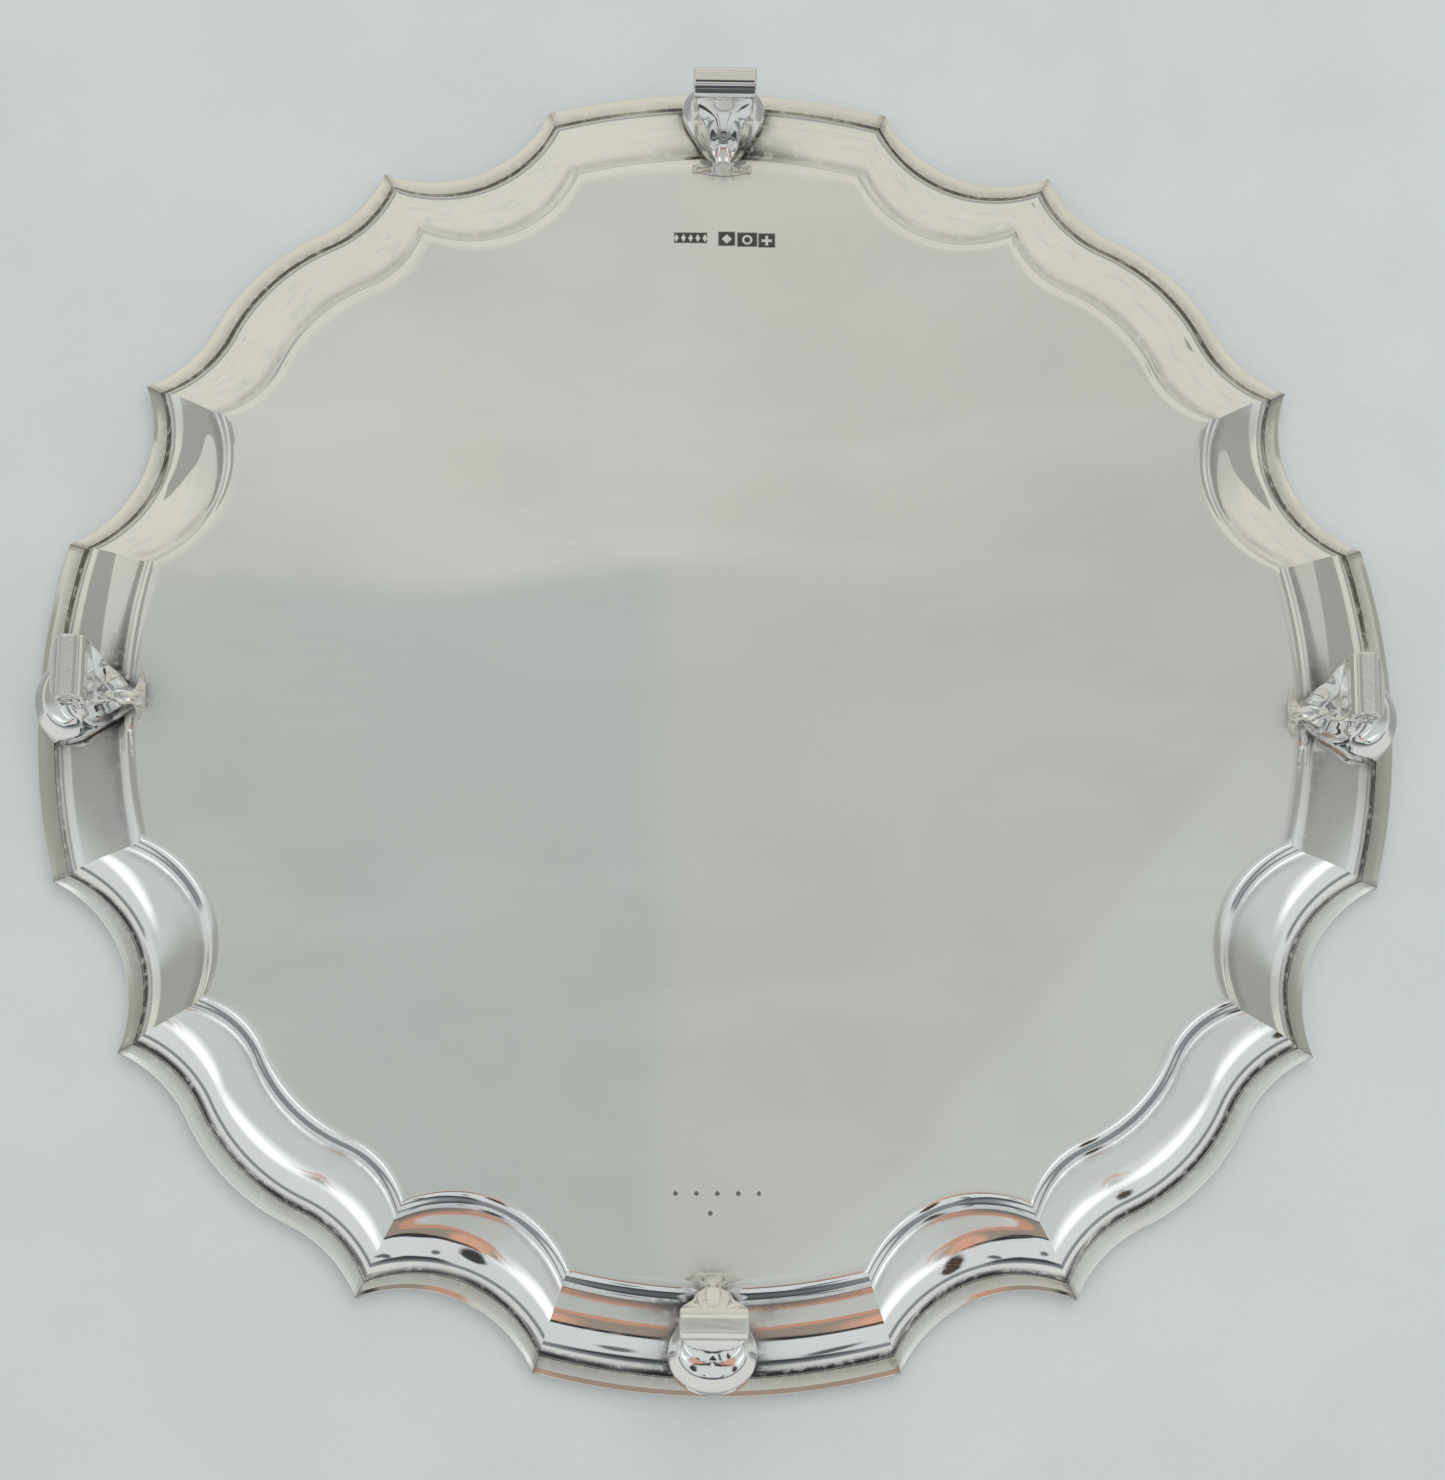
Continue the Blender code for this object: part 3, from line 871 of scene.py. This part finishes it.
# Warm cards and dark flags on the far side of the table: place, radii, turn, softness, tone.
CARDS = (
    ((0, -19.8), (21.0, 4.4), 0, 0.2, linear(146, 134, 124)),
    ((-12.5, -21), (5.2, 4.4), 15, 0.3, linear(206, 160, 138)),
    ((14, -22), (5.6, 4.4), -18, 0.3, linear(206, 158, 136)),
    ((0, -15.9), (20.0, 1.6), 0, 0.3, linear(188, 142, 120)),
    ((0, -24.6), (17.0, 1.3), 0, 0.35, linear(48, 49, 52)),
    ((-19.5, -34), (9.0, 4.6), 58, 0.25, linear(62, 64, 66)),
    ((29, -41), (17.0, 4.6), -56, 0.25, linear(72, 62, 52)),
    ((-9, -48), (5.0, 1.8), 80, 0.4, linear(105, 108, 108)),
    ((14, -56), (8.0, 2.4), 85, 0.4, linear(96, 98, 100)),
    ((0, -74), (24.0, 10.0), 0, 0.25, linear(58, 60, 65)),
)
CARD_SWAY = 7.0
# Dark bands at the horizon, and the plain room above it: tone and strength.
NEAR_BAND, NEAR_BAND_SHARE = linear(96, 102, 107), 0.8
FAR_BAND, FAR_BAND_SHARE = linear(116, 120, 121), 0.7
ROOM, ROOM_TOP = linear(206, 207, 206), linear(150, 153, 156)
WORLD_STRENGTH = 1.08


def direction_degrees(g, x, y, z):
    """Degrees from straight down: in all, towards +X and towards -Y."""
    down = g.math("MAXIMUM", g.math("MINIMUM", z * -1.0, 1.0), -1.0)
    angle = g.math("ARCCOSINE", down) * math.degrees(1)
    flat = g.math("MAXIMUM", g.math("SQRT", x * x + y * y), 1e-4)
    return angle, angle * x / flat, angle * y / flat * -1.0


def ceiling_part(g, ax, ay, side, sway):
    """Where the ceiling is, and its grey."""
    top = g.math("MINIMUM", g.math("MAXIMUM", side - WING_FROM, 0.0), WING_SPAN)
    top = top * WING_SLOPE + CEILING_TOP
    bump = g.fade(ax, 2, 10) * g.fade(ax, 18, 10) * CEILING_BUMP
    top = top + bump + (sway - 0.5) * CEILING_SWAY
    share = g.fade(ay - top, 0.25, -0.25) * g.fade(side, 67, 59)
    foot = g.fade(side, 12, 34) * CEILING_FOOT_RISE + CEILING_FOOT
    share = share * g.fade(ay - foot, -2.5, 2.5)
    grey = g.mix(g.fade(side, 8, 22), CEILING, CEILING_SIDE)
    grey = g.mix(g.fade(ax, 0.4, -0.4) * g.fade(ax, -12, -4), grey, CEILING_PANEL)
    grey = g.mix(g.fade(side, 9, 15) * g.fade(ay, 12, 3), grey, CEILING_LOW)
    # The far end of the ceiling shows as a paler corner with a slanting edge.
    slant = ax - 7.6 - (ay - 14.2) * 0.87
    corner = g.fade(slant, -0.35, 0.35) * g.fade(ay, 1, 6) * g.fade(ax, 13, 10)
    return share, g.mix(corner * 0.7, grey, CEILING_FAR)


def make_world():
    """Soft studio seen in the silver, laid out by direction."""
    world = bpy.data.worlds.new("studio")
    world.use_nodes = True
    g = Graph(world.node_tree)
    where = g.node("TexCoord").outputs["Generated"]
    angle, ax, ay = direction_degrees(g, *g.split(where))
    side = g.math("ABSOLUTE", ax)
    sway = g.noise(where, 5.0, 1.0)

    wall = g.mix(g.fade(ax, -6, 14), WALL_LEFT, WALL_RIGHT)
    wall = g.mix(g.fade(ay, 22, 31), wall, CREAM)
    wall = g.mix(g.fade(g.noise(where, 14.0, 2.0), 0.5, 0.75) * 0.35, wall, WALL_STAIN)
    colour = g.mix(g.fade(ay, 0, 16), COOL, wall)
    share, grey = ceiling_part(g, ax, ay, side, sway)
    colour = g.mix(share, colour, grey)
    for at, turn in WINDOWS:
        glow = g.blob(ax, ay, at, WINDOW_RADII, turn, WINDOW_SOFT)
        colour = g.mix(glow, colour, WINDOW_LIGHT)
    for at, radii, turn, soft, tone in CARDS:
        card = g.blob(ax, ay + (sway - 0.5) * CARD_SWAY, at, radii, turn, soft)
        colour = g.mix(card, colour, tone)
    near = g.fade(angle, 70, 80) * g.fade(angle, 97, 88) * g.fade(ay, -8, -16)
    colour = g.mix(near * NEAR_BAND_SHARE, colour, NEAR_BAND)
    # Above the horizon: a plain pale room with a softer, darker middle.
    room = g.mix(g.fade(angle, 120, 165), ROOM, ROOM_TOP)
    colour = g.mix(g.fade(angle, 88, 100), colour, room)
    far = g.fade(angle, 92, 108) * g.fade(angle, 146, 126) * g.fade(ay, -20, 10)
    colour = g.mix(far * FAR_BAND_SHARE, colour, FAR_BAND)
    shade = g.node("Background")
    g.put(shade.inputs["Color"], colour)
    shade.inputs["Strength"].default_value = WORLD_STRENGTH
    out = g.node("OutputWorld")
    g.put(out.inputs["Surface"], shade.outputs[0])
    world.cycles.sampling_method = "MANUAL"
    world.cycles.sample_map_resolution = 256
    bpy.context.scene.world = world


STAGE_SIZE = 30.0
STAGE_DARK = 0.93


def stage_plane(name, z, up, tone, glow):
    """Plane seen by the camera only, and only from its front.

    glow is its own light, which keeps the salver's shadow on it faint.
    """
    half = STAGE_SIZE / 2
    corners = [(-half, -half, z), (half, -half, z), (half, half, z), (-half, half, z)]
    mesh = bpy.data.meshes.new(name)
    mesh.from_pydata(corners, [], [(0, 1, 2, 3) if up else (3, 2, 1, 0)])
    plane = bpy.data.objects.new(name, mesh)
    bpy.context.scene.collection.objects.link(plane)
    coat = bpy.data.materials.new(name)
    coat.use_nodes = True
    g = Graph(coat.node_tree)
    where = g.node("TexCoord").outputs["Object"]
    weave = g.noise(where, 900.0, 3.0)
    cloudy = g.noise(where, 9.0, 2.0)
    blotch = g.fade(g.noise(where, 38.0, 3.0), 0.36, 0.64) * 0.5
    dark = tuple(c * STAGE_DARK for c in tone[:3]) + (1.0,)
    colour = g.mix((weave - 0.5) * 0.7 + cloudy * 0.6 + blotch, dark, tone)
    face = g.node("BsdfPrincipled")
    g.put(face.inputs["Base Color"], colour)
    face.inputs["Roughness"].default_value = 0.9
    face.inputs["Specular IOR Level"].default_value = 0.1
    g.put(face.inputs["Emission Color"], colour)
    face.inputs["Emission Strength"].default_value = glow
    bump = g.node("Bump")
    bump.inputs["Strength"].default_value = 0.25
    bump.inputs["Distance"].default_value = 0.0004
    g.put(bump.inputs["Height"], weave)
    g.put(face.inputs["Normal"], bump.outputs[0])
    clear = g.node("BsdfTransparent")
    pick = g.node("MixShader")
    g.put(pick.inputs[0], g.node("NewGeometry").outputs["Backfacing"])
    g.put(pick.inputs[1], face.outputs[0])
    g.put(pick.inputs[2], clear.outputs[0])
    out = g.node("OutputMaterial")
    g.put(out.inputs["Surface"], pick.outputs[0])
    mesh.materials.append(coat)
    for ray in ("diffuse", "glossy", "transmission", "shadow", "volume_scatter"):
        setattr(plane, "visible_" + ray, False)


def soft_light(name, at, size, power):
    lamp = bpy.data.lights.new(name, "AREA")
    lamp.shape = "DISK"
    lamp.size = size
    lamp.energy = power
    made = bpy.data.objects.new(name, lamp)
    bpy.context.scene.collection.objects.link(made)
    made.location = at
    made.rotation_euler = (-Vector(at)).to_track_quat("-Z", "Y").to_euler()
    made.visible_camera = False
    made.visible_glossy = False


# ---------------------------------------------------------------- silver

# Shares of the silver's own tone: warmer clouds, a thin veil, and brighter smears.
WARM_CLOUD = (1, 0.99, 0.955)
VEIL, SMEAR, BRIGHTEST = 0.92, 1.05, 0.99
# Solder brown and near black: they colour solder and tarnish, and the painted shade too.
SOLDER_AND_SHADE_TONE, GRIME_AND_SHADE_TONE = (0.52, 0.47, 0.38, 1), (0.085, 0.085, 0.085, 1)
PUNCH_TONE = (0.05, 0.05, 0.055, 1)
FILM_ROUGH, GRIME_AND_SHADE_ROUGH, LINE_ROUGH, PUNCH_ROUGH = 0.02, 0.3, 0.06, 0.2
# Hairline scratches: turn, stretch along them, scale.
SCRATCHES = ((0.5, 30, 60), (2.2, 26, 75), (1.3, 34, 48))
SCRATCH_W = 0.012
# Relief in units of BUMP metres.
BUMP = 0.000004
LINE_RELIEF, GRAIN_RELIEF, PUNCH_RELIEF = -0.15, 0.1, 18.0


def hairlines(g, where):
    """Scratches in several directions, broken up by noise."""
    lines = None
    for turn, stretch, scale in SCRATCHES:
        line = g.noise(where, scale, 1.0, (1, stretch, 1), turn)
        broken = g.fade(g.noise(where, 31.0 + 9 * turn, 1.0), 0.55, 0.68)
        line = g.fade(g.math("ABSOLUTE", line - 0.5), SCRATCH_W, 0.0) * broken
        lines = line if lines is None else g.math("MAXIMUM", lines, line)
    return lines


def silver(name, tone, roughness, marks=False, solder=False):
    coat = bpy.data.materials.new(name)
    coat.use_nodes = True
    g = Graph(coat.node_tree)
    where = g.node("TexCoord").outputs["Object"]
    tarnish_and_shade = g.node("Attribute", attribute_name="tarnish_and_shade")
    # The attribute holds tarnish, solder and painted shade; noise breaks it into patches.
    grime_and_shade = Value(g, tarnish_and_shade.outputs["Fac"])
    patch = g.fade(g.noise(where, 65.0, 2.0), 0.34, 0.52) * 0.5 + 0.5
    speck = g.fade(g.noise(where, 800.0, 3.0), 0.32, 0.5) * 0.45 + 0.55
    grime_and_shade = g.math("MULTIPLY", grime_and_shade, patch * speck, clamp=True)
    cloud = g.noise(where, 22.0, 4.0)
    film = g.noise(where, 75.0, 4.0, rough=0.6)
    warm = tuple(c * share for c, share in zip(tone, WARM_CLOUD))
    colour = g.mix(g.fade(cloud, 0.35, 0.75) * 0.5, (*tone, 1), (*warm, 1))
    veil = g.fade(g.noise(where, 26.0, 5.0, rough=0.6), 0.42, 0.66)
    smear = g.fade(g.noise(where, 20.0, 3.0, (1, 3.5, 1), 1.1), 0.5, 0.68)
    colour = g.mix(veil * 0.55, colour, (*(VEIL * c for c in tone), 1))
    colour = g.mix(smear * 0.5, colour, (*(min(SMEAR * c, BRIGHTEST) for c in tone), 1))
    # On the casting the lighter part of the darkening turns solder brown: the solder at the
    # neck and the painted shade in the hollows alike.
    if solder:
        colour = g.mix(g.fade(grime_and_shade, 0.0, 0.5), colour, SOLDER_AND_SHADE_TONE)
        grime_and_shade = g.fade(grime_and_shade, 0.35, 0.95)
    # Darkest tarnish and painted shade.
    colour = g.mix(grime_and_shade, colour, GRIME_AND_SHADE_TONE)
    rough = g.fade(film, 0.45, 0.75) * FILM_ROUGH + roughness + grime_and_shade * GRIME_AND_SHADE_ROUGH
    lines = hairlines(g, where)
    rough = rough + lines * LINE_ROUGH
    height = lines * LINE_RELIEF + g.noise(where, 900.0, 2.0) * GRAIN_RELIEF
    if marks:
        sunk, dark = punch_marks(g, *g.split(where))
        height = height - sunk * PUNCH_RELIEF
        colour = g.mix(dark, colour, PUNCH_TONE)
        rough = rough + dark * PUNCH_ROUGH
    face = g.node("BsdfPrincipled")
    face.inputs["Metallic"].default_value = 1.0
    g.put(face.inputs["Base Color"], colour)
    g.put(face.inputs["Roughness"], rough)
    bump = g.node("Bump")
    bump.inputs["Strength"].default_value = 1.0
    bump.inputs["Distance"].default_value = BUMP
    g.put(bump.inputs["Height"], height)
    g.put(face.inputs["Normal"], bump.outputs[0])
    out = g.node("OutputMaterial")
    g.put(out.inputs["Surface"], face.outputs[0])
    return coat


# Punches, in millimetres: x and half width and half height of each shield, and the row's y,
# which climbs a little from one to the next.
SHIELDS = ((-4.2, 2.5, 0.85), (1.35, 1.25, 1.15), (4.5, 1.5, 1.15), (7.5, 1.25, 1.15))
MARK_R, MARK_CLIMB = 74.3, 0.12
# Dots: y of the row, one dot's x, the spacing, and the part of the row that is kept (middle
# and half length); one more dot; where a dot fades out, from its middle.
DOTS_R, DOTS_FROM, DOTS_STEP = 73.3, -6.0, 3.0
DOTS_X, DOTS_HALF = -0.6, 6.8
LAST_DOT = (-1.0, 76.15)
DOT_FADE = (0.42, 0.3)
DOT_DARK, MARK_DARK = 0.8, 0.93
# The marks are on the underside only: faded out between these heights, in metres.
MARK_TOP, MARK_FULL = 0.0172, 0.0168


def shield_motif(g, index, along, dx, dy):
    """Plain shapes left bright in the shields: lozenges, a lozenge, a ring and a cross."""
    if index == 0:
        return g.fade(g.math("PINGPONG", along, 0.55) + dy * 0.6, 0.42, 0.34)
    if index == 1:
        return g.fade(dx + dy, 0.85, 0.72)
    if index == 2:
        return g.fade(g.math("ABSOLUTE", dx * dx + dy * dy - 0.42), 0.26, 0.14)
    arms = g.fade(g.math("MINIMUM", dx, dy), 0.26, 0.16)
    return arms * g.fade(g.math("MAXIMUM", dx, dy), 0.86, 0.76)


def punch_marks(g, x, y, z):
    """Plain punches with no letters or numbers: four small shields and some dots."""
    below = g.fade(z, MARK_TOP, MARK_FULL)
    px, py = x * TO_MM, y * TO_MM
    sunk = dark = None
    for index, (at, half_x, half_y) in enumerate(SHIELDS):
        along = px - at
        dx = g.math("ABSOLUTE", along)
        dy = g.math("ABSOLUTE", py + MARK_R - MARK_CLIMB * index)
        shield = g.fade(g.math("MAXIMUM", dx - half_x, dy - half_y), 0.12, -0.12)
        ground = shield * (1.0 - shield_motif(g, index, along, dx, dy))
        sunk = shield if sunk is None else g.math("MAXIMUM", sunk, shield)
        dark = ground if dark is None else g.math("MAXIMUM", dark, ground)
    along = g.math("PINGPONG", px - DOTS_FROM, DOTS_STEP / 2)
    dot = g.math("SQRT", along * along + (py - DOTS_R) * (py - DOTS_R))
    in_row = g.math("ABSOLUTE", px - DOTS_X)
    dots = g.fade(dot, *DOT_FADE) * g.fade(in_row, DOTS_HALF + 0.1, DOTS_HALF - 0.1)
    dx, dy = px - LAST_DOT[0], py - LAST_DOT[1]
    last = g.fade(g.math("SQRT", dx * dx + dy * dy), *DOT_FADE)
    dots = g.math("MAXIMUM", dots, last)
    sunk = g.math("MAXIMUM", sunk, dots) * below
    dark = g.math("MAXIMUM", dark, dots * DOT_DARK) * below * MARK_DARK
    return sunk, dark


# ---------------------------------------------------------------- camera

# Fitted to the cusps of the outline and of the border's inner edge. The place is in
# millimetres: back from the flange's plane and aside from the middle, before the turn, in
# degrees about X, Y and Z.
LENS, SENSOR = 92.38, 36.0
CAMERA_BACK = 569.4
CAMERA_ASIDE = (-0.82, 3.96)
CAMERA_TURN = (-15.756, 0.955, -0.017)


def make_camera():
    """Camera below the salver, looking up at it and turned off square."""
    turn = Matrix.Identity(3)
    for degrees, axis in zip(CAMERA_TURN, "XYZ"):
        turn = turn @ Matrix.Rotation(math.radians(degrees), 3, axis)
    away = Vector((-CAMERA_ASIDE[0], -CAMERA_ASIDE[1], CAMERA_BACK))
    upside = Matrix(((1, 0, 0), (0, -1, 0), (0, 0, -1)))
    at = upside @ (turn.transposed() @ away) + Vector((0, 0, FLANGE_Z))
    data = bpy.data.cameras.new("camera")
    data.lens = LENS
    data.sensor_width = SENSOR
    data.clip_start = 0.05
    data.clip_end = 100.0
    made = bpy.data.objects.new("camera", data)
    bpy.context.scene.collection.objects.link(made)
    made.matrix_world = Matrix.Translation(at * MM) @ (upside @ turn.transposed()).to_4x4()
    bpy.context.scene.camera = made


# ---------------------------------------------------------------- build


CORNERS = ("back_right", "back_left", "front_left", "front_right")
SHEET_TONE, SHEET_ROUGH = (0.94, 0.935, 0.915), 0.025
MOULDING_TONE, MOULDING_ROUGH = (0.93, 0.915, 0.86), 0.06
CASTING_TONE, CASTING_ROUGH = (0.94, 0.935, 0.92), 0.04
CLOTH_TONE, CLOTH_GLOW = (0.35, 0.368, 0.373, 1.0), 0.85
FLOOR_TONE, FLOOR_GLOW = (0.80, 0.80, 0.79, 1.0), 0.0
# Lamps: place and size in metres, power in watts.
LAMP_BELOW = ((0.25, -0.35, -1.1), 1.2, 6.0)
LAMP_ABOVE = ((-0.5, -0.7, 1.2), 1.2, 14.0)


def build():
    sheet = silver("silver_sheet", SHEET_TONE, SHEET_ROUGH, marks=True)
    moulding = silver("silver_moulding", MOULDING_TONE, MOULDING_ROUGH)
    casting = silver("silver_casting", CASTING_TONE, CASTING_ROUGH, solder=True)

    made = tray(sheet)
    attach(made, "root")
    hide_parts("tray")

    notch = 0
    for quarter in range(4):
        axis = 90.0 * quarter
        for kind, start, end, steps in border_lengths():
            if kind == "arc":
                node = "rim_arc_" + SIDES[quarter]
            elif kind == "lobe":
                node = "rim_lobe_" + CORNERS[quarter]
            else:
                notch += 1
                node = "rim_notch_%d" % notch
            made = rim_piece(node + "_fine", axis + start, axis + end, steps, moulding)
            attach(made, "root")
            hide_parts(node)

    foot = foot_mesh(casting)
    mesh = foot.data
    bpy.data.objects.remove(foot)
    for side, axis in zip(SIDES, FOOT_AXES):
        made = bpy.data.objects.new("scroll_foot_" + side, mesh)
        bpy.context.scene.collection.objects.link(made)
        made.rotation_euler = (0, 0, math.radians(axis))
        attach(made, "root")
        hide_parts("foot_" + side)


build()
make_world()
stage_plane("cloth", CREST_Z * MM, False, CLOTH_TONE, CLOTH_GLOW)
stage_plane("floor", SOLE_Z * MM, True, FLOOR_TONE, FLOOR_GLOW)
soft_light("light_below", *LAMP_BELOW)
soft_light("light_above", *LAMP_ABOVE)
make_camera()
bpy.context.scene.view_settings.view_transform = "Standard"
bpy.context.scene.cycles.caustics_reflective = False
bpy.context.scene.cycles.caustics_refractive = False
